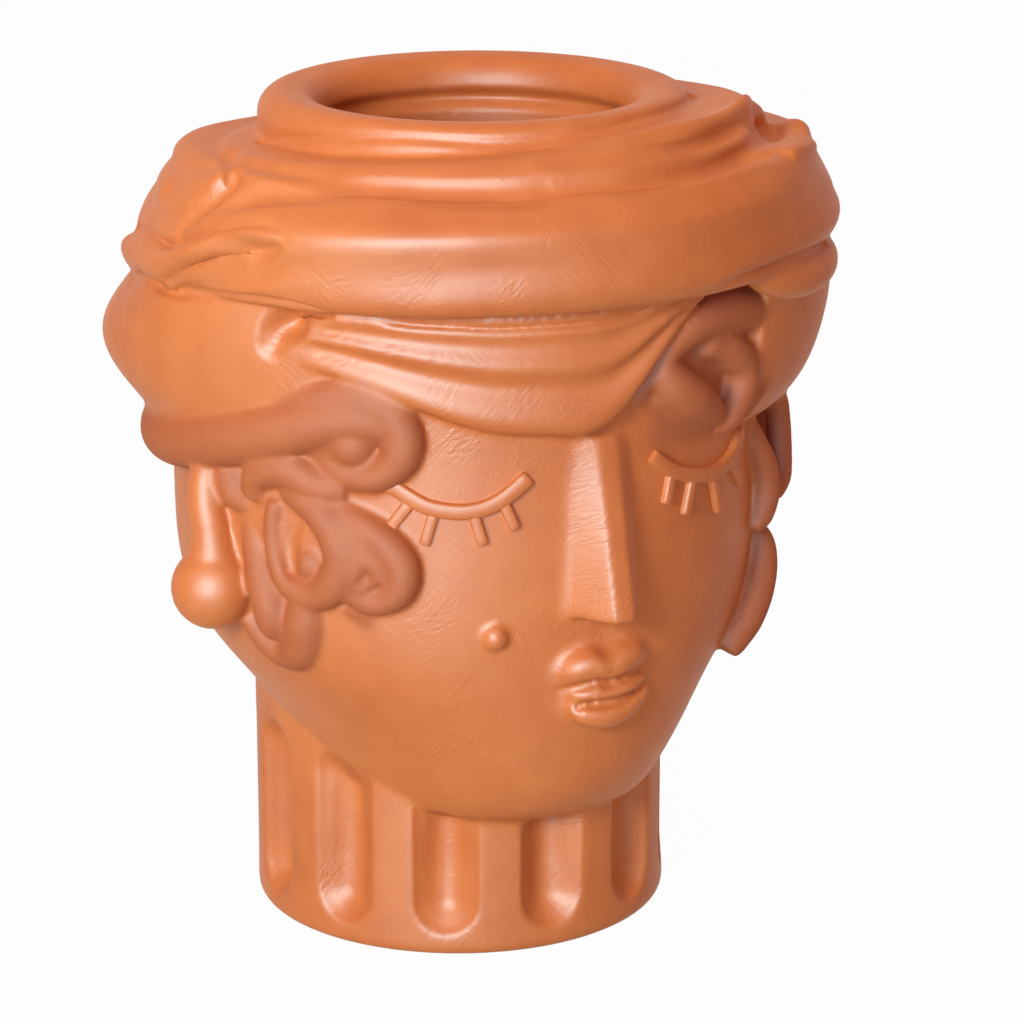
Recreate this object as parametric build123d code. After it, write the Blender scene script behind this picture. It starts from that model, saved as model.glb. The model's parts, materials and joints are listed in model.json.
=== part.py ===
from build123d import *

import os
from math import cos, radians, sin, tan

# A terracotta head vase: a hollow head with closed eyes and a wound head cloth, on a fluted neck.
#
# It is put together as a potter does it, from clay pieces that are formed apart and luted together with
# slip: a thrown neck closed by a floor disc, a hollow head shell, a mouth collar, the cloth laid on as
# separate wraps, and the hair, ears, earrings, nose, lips and eyelids pressed on last. Each piece is
# trimmed to the face of what it is pressed against, so neighbours meet face to face.
#
# Millimetres, +Z up. The origin is the centre of the foot, and the face looks along -Y. A place is given
# by a turn about the Z axis in degrees (0 is the face, 90 the vase's own left at +X, -90 its own right),
# a height and a reach outwards from the axis. Heights on the face and hair are shares of the face's
# height above the chin, and heights on the cloth are shares of the cloth's height above the brow.

# The vertical stack, from the foot to the rim
neck_height = 50.0
face_height = 150.0
cloth_height = 85.0
rim_rise = 15.0

# The neck and its floor
neck_radius = 74.5
neck_wall = 13.0
neck_tenon = 42.0
foot_rounding = 4.0
floor_thickness = 10.0
flute_count = 12
first_flute_turn = -3.0
flute_length = 67.0
flute_width = 25.0
flute_depth = 7.0
flute_foot_gap = 8.0

# The head shell
head_reach = 104.0
shell_wall = 8.0
roof_thickness = 10.0
seat_drop = 23.0

# The mouth collar
mouth_forward = 13.0
throat_radius = 54.0
collar_radius = 76.0
crest_radius = 65.0
throat_length = 25.0
collar_shoulder_rise = 30.0

# The head cloth
crown_turn = 54.0
crown_tilt = 3.7
side_fold_radius = 6.0
leaf_fold_radius = 7.0
side_tuck_radius = 12.0

# The hair and the ears
roll_radius = 11.5
curl_radius = 7.5
curl_button_radius = 5.5
arch_lock_radius = 5.5
flower_radius = 7.0
cheek_curl_radius = 12.0
side_lock_radius = 7.0
long_lock_radius = 7.0
hair_arch_radius = 8.0
twist_radius = 9.0
small_curl_radius = 6.0
hanging_lock_radius = 8.5
ear_radius = 7.5
earball_radius = 14.3
drop_radius = 11.0

# The face
nose_tip_reach = 119.0
nose_top_reach = 105.5
nose_root_reach = 101.0
nose_base_width = 29.0
nose_ridge_width = 7.5
nose_shift = 1.5
lip_radius = 6.5
spot_radius = 4.6
eyelid_width = 5.0
eyelid_rise = 2.6
lash_width = 4.0
lash_rise = 2.2

# How far cutters and buried roots run past what they cut or root in
overrun = 6.0

chin_z = neck_height
brow_z = neck_height + face_height
cloth_top_z = brow_z + cloth_height
rim_z = cloth_top_z + rim_rise
seat_z = cloth_top_z - seat_drop
roof_z = seat_z - roof_thickness

# The head's sections: a height share, then the reach at turns 0, 30, 60, 90, 120, 150 and 180 as shares
# of head_reach
face_section_shares = (
    (0.00, (0.68, 0.60, 0.56, 0.56, 0.56, 0.56, 0.56)),
    (0.04, (0.81, 0.74, 0.62, 0.58, 0.58, 0.58, 0.58)),
    (0.10, (0.885, 0.80, 0.685, 0.62, 0.61, 0.61, 0.61)),
    (0.19, (0.925, 0.865, 0.76, 0.685, 0.67, 0.67, 0.67)),
    (0.28, (0.95, 0.915, 0.84, 0.775, 0.76, 0.77, 0.77)),
    (0.40, (0.965, 0.97, 0.945, 0.90, 0.89, 0.88, 0.87)),
    (0.53, (0.98, 0.995, 0.995, 0.97, 0.955, 0.94, 0.93)),
    (0.70, (0.99, 1.00, 1.01, 1.00, 0.97, 0.955, 0.945)),
    (1.00, (0.99, 1.00, 1.01, 1.005, 0.98, 0.96, 0.95)),
)
roof_section_shares = (
    (0.45, (1.00, 1.00, 1.01, 1.01, 0.99, 0.97, 0.95)),
    (0.66, (0.98, 0.98, 0.99, 0.98, 0.95, 0.92, 0.91)),
)

# The cloth's rings: a height share, then the reach at turns 0, 30, 60 and so on to 330 as shares of
# head_reach
main_wrap_shares = (
    (0.505, (1.13, 1.17, 1.23, 1.19, 1.11, 1.06, 1.04, 1.06, 1.08, 1.11, 1.13, 1.13)),
    (0.58, (1.20, 1.225, 1.27, 1.23, 1.15, 1.095, 1.075, 1.085, 1.08, 1.14, 1.19, 1.20)),
    (0.68, (1.20, 1.225, 1.28, 1.23, 1.16, 1.105, 1.085, 1.08, 1.06, 1.12, 1.20, 1.20)),
    (0.80, (1.21, 1.23, 1.255, 1.19, 1.12, 1.05, 1.02, 0.99, 0.985, 1.05, 1.20, 1.215)),
    (0.90, (1.165, 1.19, 1.22, 1.10, 1.04, 0.93, 0.84, 0.76, 0.93, 1.00, 1.115, 1.155)),
    (0.98, (1.085, 1.115, 1.17, 1.03, 0.97, 0.84, 0.73, 0.67, 0.87, 0.95, 1.04, 1.075)),
)
crown_shares = (
    (0.73, (1.00, 1.00, 1.00, 0.99, 0.96, 0.93, 0.92, 0.92, 0.93, 0.96, 0.99, 1.00)),
    (0.905, (1.04, 1.04, 1.05, 1.00, 0.95, 0.86, 0.81, 0.79, 0.91, 0.97, 1.00, 1.03)),
    (0.99, (1.03, 1.03, 1.02, 0.89, 0.85, 0.78, 0.71, 0.68, 0.80, 0.93, 0.98, 1.01)),
    (1.06, (0.96, 0.98, 0.93, 0.76, 0.74, 0.68, 0.58, 0.55, 0.66, 0.86, 0.92, 0.94)),
)
lower_wrap_shares = (
    (-0.16, (0.97, 1.00, 1.09, 1.05, 1.02, 1.00, 0.99, 1.01, 1.08, 1.05, 1.01, 0.97)),
    (0.00, (0.95, 1.05, 1.20, 1.155, 1.11, 1.08, 1.07, 1.10, 1.155, 1.13, 1.04, 0.97)),
    (0.18, (0.95, 1.07, 1.25, 1.21, 1.155, 1.125, 1.115, 1.145, 1.21, 1.175, 1.07, 0.97)),
    (0.37, (0.95, 1.09, 1.27, 1.23, 1.165, 1.125, 1.115, 1.12, 1.12, 1.165, 1.09, 0.97)),
    (0.505, (0.97, 1.13, 1.25, 1.20, 1.13, 1.08, 1.06, 1.07, 1.10, 1.13, 1.08, 0.97)),
)
lower_wrap_gap_turns = (-46.0, 36.0)

# The brow band: a turn, then the heights of its lower and upper edge as cloth shares. Its profile is a
# share of the way from the lower to the upper edge and a reach share
brow_band_shares = (
    (-61.0, 0.30, 0.42),
    (-56.0, 0.26, 0.47),
    (-46.0, 0.19, 0.49),
    (-35.0, 0.10, 0.49),
    (-24.0, 0.02, 0.49),
    (-12.0, -0.01, 0.49),
    (-3.0, 0.00, 0.49),
    (4.0, 0.13, 0.50),
    (10.0, 0.28, 0.52),
    (16.0, 0.40, 0.54),
    (23.0, 0.51, 0.57),
)
brow_profile_shares = (
    (0.00, 1.035),
    (0.10, 1.075),
    (0.30, 1.065),
    (0.42, 1.055),
    (0.58, 1.085),
    (0.74, 1.065),
    (0.90, 1.085),
    (1.00, 1.06),
)

# Folds of cloth that stand off the head. Each place is a turn, a cloth share, a share of head_reach and a
# share of the fold's radius
side_fold_shares = (
    (-128.0, 0.50, 1.04, 0.70),
    (-112.0, 0.50, 1.08, 1.00),
    (-96.0, 0.53, 1.09, 1.05),
    (-83.0, 0.58, 1.12, 1.05),
    (-72.0, 0.665, 1.16, 0.95),
    (-62.0, 0.72, 1.17, 0.55),
)
leaf_fold_shares = (
    (27.0, 0.535, 1.15, 0.45),
    (33.0, 0.49, 1.17, 0.90),
    (42.0, 0.46, 1.21, 1.00),
    (52.0, 0.47, 1.23, 0.95),
    (62.0, 0.50, 1.21, 0.50),
)
side_tuck_shares = (
    (-74.0, 0.93, 0.98, 0.60),
    (-84.0, 0.80, 0.98, 1.00),
    (-97.0, 0.76, 0.94, 1.10),
    (-112.0, 0.76, 0.88, 1.15),
    (-124.0, 0.76, 0.86, 0.90),
)

# Routes of rolled clay. Each place is a turn, a face share and a share of the roll's radius
nape_roll_shares = (
    (52.0, 0.925, 0.45),
    (80.0, 0.905, 0.85),
    (115.0, 0.885, 0.95),
    (150.0, 0.87, 1.00),
    (185.0, 0.85, 1.00),
    (220.0, 0.845, 1.00),
    (250.0, 0.86, 0.85),
    (268.0, 0.895, 0.93),
    (284.0, 0.945, 0.92),
    (299.0, 0.995, 0.85),
    (311.0, 1.035, 0.75),
    (318.0, 1.02, 0.60),
)
temple_curl_shares = (
    (-48.5, 1.035, 0.80),
    (-43.0, 1.025, 0.95),
    (-39.0, 0.975, 0.95),
    (-40.0, 0.915, 0.90),
    (-45.5, 0.885, 0.80),
    (-50.5, 0.90, 0.50),
)
arch_lock_shares = (
    (-69.0, 0.80, 0.75),
    (-66.0, 0.88, 0.95),
    (-61.5, 0.93, 1.00),
    (-56.5, 0.915, 1.00),
    (-52.0, 0.865, 0.60),
)
flower_shares = (
    (-62.0, 0.62, 0.80),
    (-64.0, 0.72, 0.90),
    (-62.0, 0.82, 0.90),
    (-56.5, 0.84, 1.00),
    (-50.5, 0.77, 1.10),
    (-48.5, 0.68, 1.10),
    (-52.5, 0.615, 1.05),
    (-57.5, 0.595, 0.90),
)
side_lock_shares = (
    (-74.0, 0.93, 0.75),
    (-70.5, 0.83, 0.85),
    (-69.5, 0.72, 0.95),
    (-67.5, 0.61, 1.00),
    (-65.0, 0.52, 0.75),
)
long_lock_shares = (
    (-56.5, 0.55, 0.95),
    (-57.0, 0.48, 1.00),
    (-59.5, 0.435, 1.00),
    (-65.5, 0.455, 0.90),
    (-70.5, 0.49, 0.60),
)
hair_arch_shares = (
    (2.5, 1.03, 0.50),
    (6.5, 1.11, 0.70),
    (11.0, 1.19, 0.85),
    (16.5, 1.245, 1.00),
    (23.0, 1.26, 1.00),
    (30.0, 1.225, 0.90),
    (37.0, 1.165, 0.60),
)
twist_lock_shares = (
    (11.0, 1.13, 0.55),
    (8.5, 1.07, 0.90),
    (12.5, 1.03, 1.00),
    (18.5, 1.035, 1.00),
    (21.5, 1.09, 0.90),
    (19.0, 1.145, 0.60),
)
twist_curl_shares = (
    (22.0, 0.97, 0.75),
    (27.0, 0.955, 1.00),
    (31.5, 0.985, 1.00),
    (34.0, 1.035, 0.80),
)
hanging_lock_shares = (
    (38.0, 1.03, 0.70),
    (46.0, 0.99, 0.90),
    (53.0, 0.90, 1.00),
    (56.0, 0.80, 1.05),
    (56.0, 0.70, 0.95),
    (53.0, 0.63, 0.60),
)
inner_lock_shares = (
    (33.0, 0.93, 0.55),
    (38.0, 0.86, 0.85),
    (42.5, 0.77, 1.00),
    (43.5, 0.68, 1.00),
    (43.0, 0.61, 0.60),
)
upper_lip_shares = (
    (-9.5, 0.405, 0.35),
    (-5.0, 0.44, 0.95),
    (-0.5, 0.435, 0.85),
    (4.0, 0.45, 1.00),
    (8.0, 0.42, 0.40),
)
lower_lip_shares = (
    (-9.0, 0.355, 0.35),
    (-4.0, 0.335, 1.00),
    (2.5, 0.335, 1.10),
    (8.0, 0.38, 0.45),
)
drop_shares = (
    (66.0, 0.615, 0.45),
    (63.0, 0.55, 1.00),
    (62.0, 0.46, 1.05),
    (61.0, 0.38, 0.90),
    (60.5, 0.325, 0.60),
)
nose_tip_share = 0.555
nose_top_share = 0.975
ear_shares = (
    (-80.5, 0.95, 0.75),
    (-80.5, 0.86, 0.90),
    (-81.5, 0.77, 1.00),
    (-82.0, 0.69, 1.15),
)
eyelid_right_shares = ((-42.5, 0.855), (-37.0, 0.815), (-29.5, 0.795), (-22.0, 0.82), (-15.5, 0.88))
eyelid_left_shares = ((13.5, 0.885), (20.5, 0.82), (29.0, 0.79), (38.0, 0.80), (47.0, 0.845))
lash_shares = {
    "right_lash_1": ((-39.4, 0.815), (-43.5, 0.767)),
    "right_lash_2": ((-34.2, 0.79), (-35.9, 0.733)),
    "right_lash_3": ((-26.6, 0.79), (-24.9, 0.729)),
    "right_lash_4": ((-20.5, 0.815), (-16.9, 0.756)),
    "left_lash_1": ((18.2, 0.825), (15.6, 0.78)),
    "left_lash_2": ((26.0, 0.787), (23.8, 0.727)),
    "left_lash_3": ((37.0, 0.787), (40.5, 0.687)),
    "left_lash_4": ((45.5, 0.825), (50.5, 0.72)),
}


def place(turn, height, reach):
    """The point at a turn about the axis, a height and a reach from the axis."""
    return Vector(reach * sin(radians(turn)), -reach * cos(radians(turn)), height)


def between(table, x):
    """The value at x in a table of (x, value) pairs, joined by straight lines and level past its ends."""
    if x <= table[0][0]:
        return table[0][1]
    for (x0, v0), (x1, v1) in zip(table, table[1:]):
        if x <= x1:
            return v0 + (v1 - v0) * (x - x0) / (x1 - x0)
    return table[-1][1]


def mirrored(row):
    """The reaches round the whole head, from those of one half."""
    return row + tuple(reversed(row[1:-1]))


def head_sections():
    """The head's heights and the reaches round each, from the chin to the seat of the collar."""
    rows = [(chin_z + share * face_height, mirrored(row)) for share, row in face_section_shares]
    rows += [(brow_z + share * cloth_height, mirrored(row)) for share, row in roof_section_shares]
    return rows + [(seat_z, rows[-1][1])]


def skin(turn, height):
    """The reach of the head's outside at a turn and a height."""
    column = []
    for level, row in head_sections():
        step = 360 / len(row)
        around = [(i * step, share) for i, share in enumerate(row + row[:1])]
        column.append((level, between(around, turn % 360)))
    return head_reach * between(column, height)


def ring(height, row, inset=0.0, tilt=0.0):
    """A closed outline round the axis, with its reaches given at even turns, in a level or tilted plane."""
    points = []
    for i, share in enumerate(row):
        turn = i * 360 / len(row)
        reach = head_reach * share - inset
        lean = reach * cos(radians(turn - crown_turn)) * tan(radians(tilt))
        points.append(place(turn, height + lean, reach))
    return Wire([Edge.make_spline(points, periodic=True)])


def biggest(shape):
    """The largest solid of a shape, which drops the slivers that a trim can leave."""
    return max(shape.solids(), key=lambda solid: solid.volume)


def trim(piece, *others):
    """The piece less the pieces that it is pressed against."""
    room = piece.bounding_box(optimal=False)
    near = [other for other in others if room.overlaps(other.bounding_box(optimal=False))]
    return biggest(piece.cut(*near))


def head_block():
    """The whole head as one block, with no hollow."""
    return Solid.make_loft([ring(height, row) for height, row in head_sections()])


def head_hollow():
    """The room inside the head, open below and closed under the roof."""
    levels = [(min(height, roof_z), row) for height, row in head_sections()[:-1]]
    rings = [ring(chin_z - overrun, levels[0][1], shell_wall)]
    rings += [ring(height, row, shell_wall) for height, row in levels]
    return Solid.make_loft(rings)


def throat_bore(radius):
    """An upright bore through the mouth, from inside the head to past the rim."""
    foot = Pos(0, -mouth_forward, roof_z - overrun)
    seat = (Align.CENTER, Align.CENTER, Align.MIN)
    return foot * Cylinder(radius, rim_z - roof_z + 2 * overrun, align=seat)


def neck_piece(block):
    """The neck wall with its thumbed flutes, trimmed to the underside of the head."""
    seat = (Align.CENTER, Align.CENTER, Align.MIN)
    wall = Cylinder(neck_radius, neck_height + neck_tenon, align=seat)
    wall = fillet(wall.edges().sort_by(Axis.Z)[0], foot_rounding)
    well = Cylinder(neck_radius - neck_wall, neck_height + neck_tenon + 2 * overrun, align=seat)
    wall -= Pos(0, 0, -overrun) * well
    radius = (flute_width**2 / 4 + flute_depth**2) / (2 * flute_depth)
    low = flute_foot_gap + flute_width / 2
    high = flute_foot_gap + flute_length - flute_width / 2
    thumb = Pos(0, 0, low) * Cylinder(radius, high - low, align=seat)
    thumb += Pos(0, 0, low) * Sphere(radius)
    thumb += Pos(0, 0, high) * Sphere(radius)
    for i in range(flute_count):
        turn = first_flute_turn + i * 360 / flute_count
        wall -= Pos(*place(turn, 0, neck_radius + radius - flute_depth)) * thumb
    return trim(biggest(wall), block)


def collar_piece():
    """The rolled rim ring, seated on the head's roof."""
    shoulder_z = seat_z + collar_shoulder_rise
    throat_z = seat_z + throat_length
    with_axis = Plane(origin=(0, -mouth_forward, 0), x_dir=(1, 0, 0), z_dir=(0, -1, 0))
    inner = (throat_radius, throat_z)
    crest = (crest_radius, rim_z)
    outer = (collar_radius, shoulder_z)
    outline = Polyline((throat_radius, throat_z), (throat_radius, seat_z), (collar_radius, seat_z), outer)
    outline += TangentArc(outer, crest, tangent=(0, 1))
    outline += Spline(crest, inner, tangents=((-1, 0), (0, -1)))
    return biggest(revolve(with_axis * make_face(outline), Axis((0, -mouth_forward, 0), (0, 0, 1))))


def wrap(shares, tilted_from=None):
    """A ring of cloth as one block, from its rings of reaches."""
    rings = []
    for i, (share, row) in enumerate(shares):
        tilt = 0.0 if tilted_from is None or i < tilted_from else crown_tilt
        rings.append(ring(brow_z + share * cloth_height, row, tilt=tilt))
    return Solid.make_loft(rings)


def sector(first_turn, last_turn):
    """An upright wedge between two turns, taller and wider than the whole vase."""
    far = 2 * head_reach
    middle = (first_turn + last_turn) / 2
    corners = [Vector(0, 0, 0)] + [place(turn, 0, far) for turn in (first_turn, middle, last_turn)]
    face = make_face(Polyline(*corners, close=True))
    return extrude(face, rim_z + overrun)


def brow_strip():
    """The forehead band, from its stations and its folded profile."""
    sections = []
    for turn, low_share, high_share in brow_band_shares:
        low = brow_z + low_share * cloth_height
        high = brow_z + high_share * cloth_height
        root = skin(turn, (low + high) / 2) - overrun
        front = [place(turn, low + s * (high - low), head_reach * out) for s, out in brow_profile_shares]
        corners = [front[-1], place(turn, high, root), place(turn, low, root), front[0]]
        edges = [Edge.make_spline(front)]
        edges += [Edge.make_line(a, b) for a, b in zip(corners, corners[1:])]
        sections.append(Wire(edges))
    return Solid.make_loft(sections)


def roll(centres, radii):
    """A roll of clay through the given centres, with a radius at each."""
    sections = []
    last = len(centres) - 1
    for i, (centre, radius) in enumerate(zip(centres, radii)):
        along = centres[min(i + 1, last)] - centres[max(i - 1, 0)]
        outward = Vector(centre.X, centre.Y, 0)
        level = outward - along * (outward.dot(along) / along.dot(along))
        plane = Plane(origin=centre, x_dir=level, z_dir=along)
        sections.append(Wire([Edge.make_circle(radius, plane)]))
    return Solid.make_loft(sections)


def lock(shares, radius, lift_share=0.35):
    """A lock of hair laid on the head along a route, with its radius swelling and thinning."""
    centres = []
    for turn, up, swell in shares:
        height = chin_z + up * face_height
        centres.append(place(turn, height, skin(turn, height) + lift_share * radius * swell))
    return roll(centres, [radius * swell for _, _, swell in shares])


def fold(shares, radius):
    """A fold of cloth along a route that stands off the head."""
    centres = [place(turn, brow_z + up * cloth_height, head_reach * out) for turn, up, out, _ in shares]
    return roll(centres, [radius * swell for _, _, _, swell in shares])


def bar(route, width, rise):
    """A flat strip of clay laid on the skin along a route of turns and face shares."""
    centres = []
    for turn, up in route:
        height = chin_z + up * face_height
        centres.append(place(turn, height, skin(turn, height)))
    sections = []
    last = len(centres) - 1
    for i, centre in enumerate(centres):
        along = centres[min(i + 1, last)] - centres[max(i - 1, 0)]
        outward = Vector(centre.X, centre.Y, 0).normalized()
        across = outward.cross(along.normalized())
        top = outward * rise
        root = outward * -overrun
        side = across * (width / 2)
        corners = [centre + side + root, centre + side + top, centre - side + top, centre - side + root]
        sections.append(Wire.make_polygon(corners, close=True))
    return Solid.make_loft(sections, ruled=len(route) == 2)


def button(turn, up, radius, lift=0.0):
    """A ball of clay pressed onto the head at a turn and a face share."""
    height = chin_z + up * face_height
    centre = place(turn, height, skin(turn, height) + lift)
    return biggest(Plane(origin=centre, z_dir=(centre.X, centre.Y, 0)) * Sphere(radius))


def nose_piece():
    """The wedge of the nose, from its flat underside up to the brow."""
    tip_z = chin_z + nose_tip_share * face_height
    top_z = chin_z + nose_top_share * face_height
    base = nose_base_width / 2
    ridge = nose_ridge_width / 2
    sections = []
    for height, reach in ((tip_z, nose_tip_reach), (top_z, nose_top_reach)):
        half = [(-base, overrun - nose_root_reach), (-base, -nose_root_reach), (-ridge, -reach)]
        corners = half + [(-x, y) for x, y in reversed(half)]
        sections.append(Wire.make_polygon([(x - nose_shift, y, height) for x, y in corners], close=True))
    return Solid.make_loft(sections, ruled=True)


def pieces():
    """Every clay piece by name, each trimmed to what it is pressed against."""
    made = {}
    block = head_block()
    collar_bore = throat_bore(collar_radius)
    made["base_floor"] = biggest(
        Cylinder(neck_radius - neck_wall, floor_thickness, align=(Align.CENTER, Align.CENTER, Align.MIN))
    )
    made["neck"] = neck_piece(block)
    made["head_shell"] = trim(block, head_hollow(), throat_bore(throat_radius))
    made["mouth_collar"] = collar_piece()

    crown_block = wrap(crown_shares, tilted_from=1)
    made["crown_fold"] = trim(crown_block, block, collar_bore)
    main_block = wrap(main_wrap_shares)
    made["main_wrap"] = trim(main_block, block, crown_block, collar_bore)
    nape_roll = lock(nape_roll_shares, roll_radius, lift_share=0.2)
    made["nape_roll"] = trim(nape_roll, block, main_block)
    lower_block = trim(wrap(lower_wrap_shares), sector(*lower_wrap_gap_turns))
    made["lower_wrap"] = trim(lower_block, block, main_block, nape_roll)
    side_tuck = fold(side_tuck_shares, side_tuck_radius)
    made["side_tuck"] = trim(side_tuck, block, main_block, crown_block, collar_bore)
    made["side_fold"] = trim(fold(side_fold_shares, side_fold_radius), block, main_block, lower_block)
    made["leaf_fold"] = trim(fold(leaf_fold_shares, leaf_fold_radius), block, main_block, lower_block)
    brow_block = brow_strip()
    made["brow_band"] = trim(brow_block, block, main_block, lower_block)

    right_hair = {
        "temple_curl": lock(temple_curl_shares, curl_radius),
        "temple_button": button(-48.5, 0.975, curl_button_radius, curl_button_radius / 2),
        "arch_lock": lock(arch_lock_shares, arch_lock_radius),
        "flower_curl": lock(flower_shares, flower_radius, lift_share=0.6),
        "flower_button": button(-56.5, 0.70, curl_button_radius, curl_button_radius / 2),
        "cheek_curl": button(-40.0, 0.665, cheek_curl_radius, -cheek_curl_radius / 4),
        "side_lock": lock(side_lock_shares, side_lock_radius),
        "long_lock": lock(long_lock_shares, long_lock_radius),
        "earring_right": button(-82.0, 0.59, earball_radius, earball_radius / 3),
        "ear_right": lock(ear_shares, ear_radius, lift_share=0.7),
    }
    hair = [block, main_block, lower_block, brow_block, nape_roll]
    for name, piece in right_hair.items():
        made[name] = trim(piece, *hair)
        hair.append(piece)
    right_hair_set = hair[5:]

    left_hair = {
        "hair_arch": lock(hair_arch_shares, hair_arch_radius, lift_share=0.5),
        "twist_lock": lock(twist_lock_shares, twist_radius, lift_share=0.4),
        "twist_curl": lock(twist_curl_shares, small_curl_radius, lift_share=0.7),
        "hanging_lock": lock(hanging_lock_shares, hanging_lock_radius, lift_share=0.5),
        "inner_lock": lock(inner_lock_shares, hanging_lock_radius),
        "earring_left": lock(drop_shares, drop_radius, lift_share=0.05),
    }
    hair = [block, main_block, lower_block, brow_block, nape_roll, made["leaf_fold"]]
    for name, piece in left_hair.items():
        made[name] = trim(piece, *hair)
        hair.append(piece)
    left_hair_set = hair[6:]

    made["nose"] = trim(nose_piece(), block, brow_block)
    upper_lip = lock(upper_lip_shares, lip_radius, lift_share=0.3)
    made["upper_lip"] = trim(upper_lip, block)
    made["lower_lip"] = trim(lock(lower_lip_shares, lip_radius, lift_share=0.3), block, upper_lip)
    made["beauty_spot"] = trim(button(-22.3, 0.523, spot_radius), block)
    right_lid = bar(eyelid_right_shares, eyelid_width, eyelid_rise)
    left_lid = bar(eyelid_left_shares, eyelid_width, eyelid_rise)
    made["eyelid_right"] = trim(right_lid, block, *right_hair_set)
    made["eyelid_left"] = trim(left_lid, block, *left_hair_set)
    for name, route in lash_shares.items():
        on_right = name.startswith("right")
        lid = right_lid if on_right else left_lid
        hair_set = right_hair_set if on_right else left_hair_set
        made[name] = trim(bar(route, lash_width, lash_rise), block, lid, *hair_set)
    return made


os.makedirs("parts", exist_ok=True)
for name, piece in pieces().items():
    export_step(piece, f"parts/{name}.step")
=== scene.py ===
import json
from math import cos, radians, sin

import bpy
import numpy as np
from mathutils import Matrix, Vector
from mathutils.bvhtree import BVHTree

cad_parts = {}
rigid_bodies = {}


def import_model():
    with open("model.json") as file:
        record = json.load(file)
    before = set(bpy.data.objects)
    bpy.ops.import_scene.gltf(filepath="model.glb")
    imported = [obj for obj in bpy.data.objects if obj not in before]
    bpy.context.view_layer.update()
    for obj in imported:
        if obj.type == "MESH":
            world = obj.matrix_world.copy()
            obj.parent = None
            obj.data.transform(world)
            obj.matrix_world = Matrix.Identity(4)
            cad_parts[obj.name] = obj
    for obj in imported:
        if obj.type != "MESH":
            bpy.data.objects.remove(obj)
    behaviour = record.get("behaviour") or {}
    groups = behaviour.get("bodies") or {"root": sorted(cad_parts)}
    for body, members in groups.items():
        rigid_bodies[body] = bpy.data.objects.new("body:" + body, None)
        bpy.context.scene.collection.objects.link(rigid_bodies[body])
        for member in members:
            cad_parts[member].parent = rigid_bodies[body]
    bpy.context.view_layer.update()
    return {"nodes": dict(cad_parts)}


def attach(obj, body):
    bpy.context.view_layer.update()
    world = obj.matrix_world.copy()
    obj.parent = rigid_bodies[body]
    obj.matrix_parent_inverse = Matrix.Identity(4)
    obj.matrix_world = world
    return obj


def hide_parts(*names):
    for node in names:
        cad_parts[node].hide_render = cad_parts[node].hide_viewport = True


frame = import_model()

# The camera stands to the vase's own right, a little above its rim, and looks down across the face.
# It has a long lens, so that the vase keeps its proportions.
bpy.ops.object.select_all(action="DESELECT")
camera_turn = radians(-29.0)
camera_swing = radians(-0.7825)
camera_pitch = radians(16.618)
heading = Vector((-sin(camera_turn), cos(camera_turn)))
heading = Vector((heading.x * cos(camera_swing) - heading.y * sin(camera_swing),
                  heading.x * sin(camera_swing) + heading.y * cos(camera_swing)))
looking = Vector((heading.x * cos(camera_pitch), heading.y * cos(camera_pitch), -sin(camera_pitch)))
bpy.ops.object.camera_add(location=(-0.67873, -1.22447, 0.560),
                          rotation=looking.to_track_quat("-Z", "Y").to_euler())
camera = bpy.context.object
camera.name = "camera"
camera.data.lens = 142.19
camera.data.sensor_width = 36.0
camera.data.clip_start = 0.05
bpy.context.scene.camera = camera

# The raw clay: a copy of every formed piece in place. The hair, ears, earrings and lips are laid on afresh.
# Sizes below are in millimetres, and a place is a turn about the axis, a height and a reach from it.
MM = 0.001
HEAD_PROUD = 0.6
VOXEL = 1.1
COILED = {"temple_curl", "temple_button", "arch_lock", "side_lock", "flower_curl", "flower_button",
          "cheek_curl", "long_lock", "ear_right", "earring_right", "hair_arch", "twist_lock", "twist_curl",
          "hanging_lock", "inner_lock", "earring_left", "upper_lip", "lower_lip"}
LAID_ON = {name for name in frame["nodes"] if "lash_" in name or "eyelid" in name}


def active(piece):
    bpy.ops.object.select_all(action="DESELECT")
    piece.select_set(True)
    bpy.context.view_layer.objects.active = piece


def clay_copy(name):
    copy = bpy.data.objects.new(name + "_clay", frame["nodes"][name].data.copy())
    bpy.context.collection.objects.link(copy)
    active(copy)
    bpy.ops.object.mode_set(mode="EDIT")
    bpy.ops.mesh.select_all(action="SELECT")
    bpy.ops.mesh.remove_doubles(threshold=0.01 * MM)
    bpy.ops.object.mode_set(mode="OBJECT")
    return copy


def finish_with(piece, kind, **settings):
    active(piece)
    modifier = piece.modifiers.new(kind.lower(), kind)
    for key, value in settings.items():
        setattr(modifier, key, value)
    bpy.ops.object.modifier_apply(modifier=modifier.name)


raw = []
for name in sorted(set(frame["nodes"]) - LAID_ON - COILED - {"base_floor"}):
    piece = clay_copy(name)
    if name == "head_shell":
        finish_with(piece, "DISPLACE", strength=HEAD_PROUD * MM, mid_level=0.0)
    raw.append((name, piece))


# The hair and the ears: coils rolled between the hands, tapered at their ends and laid on the head, and
# balls pressed on. Each coil is a curve with its own thickness at each place, turned to a mesh.
def spot(turn, height, reach):
    return Vector((reach * sin(radians(turn)), -reach * cos(radians(turn)), height)) * MM


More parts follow.
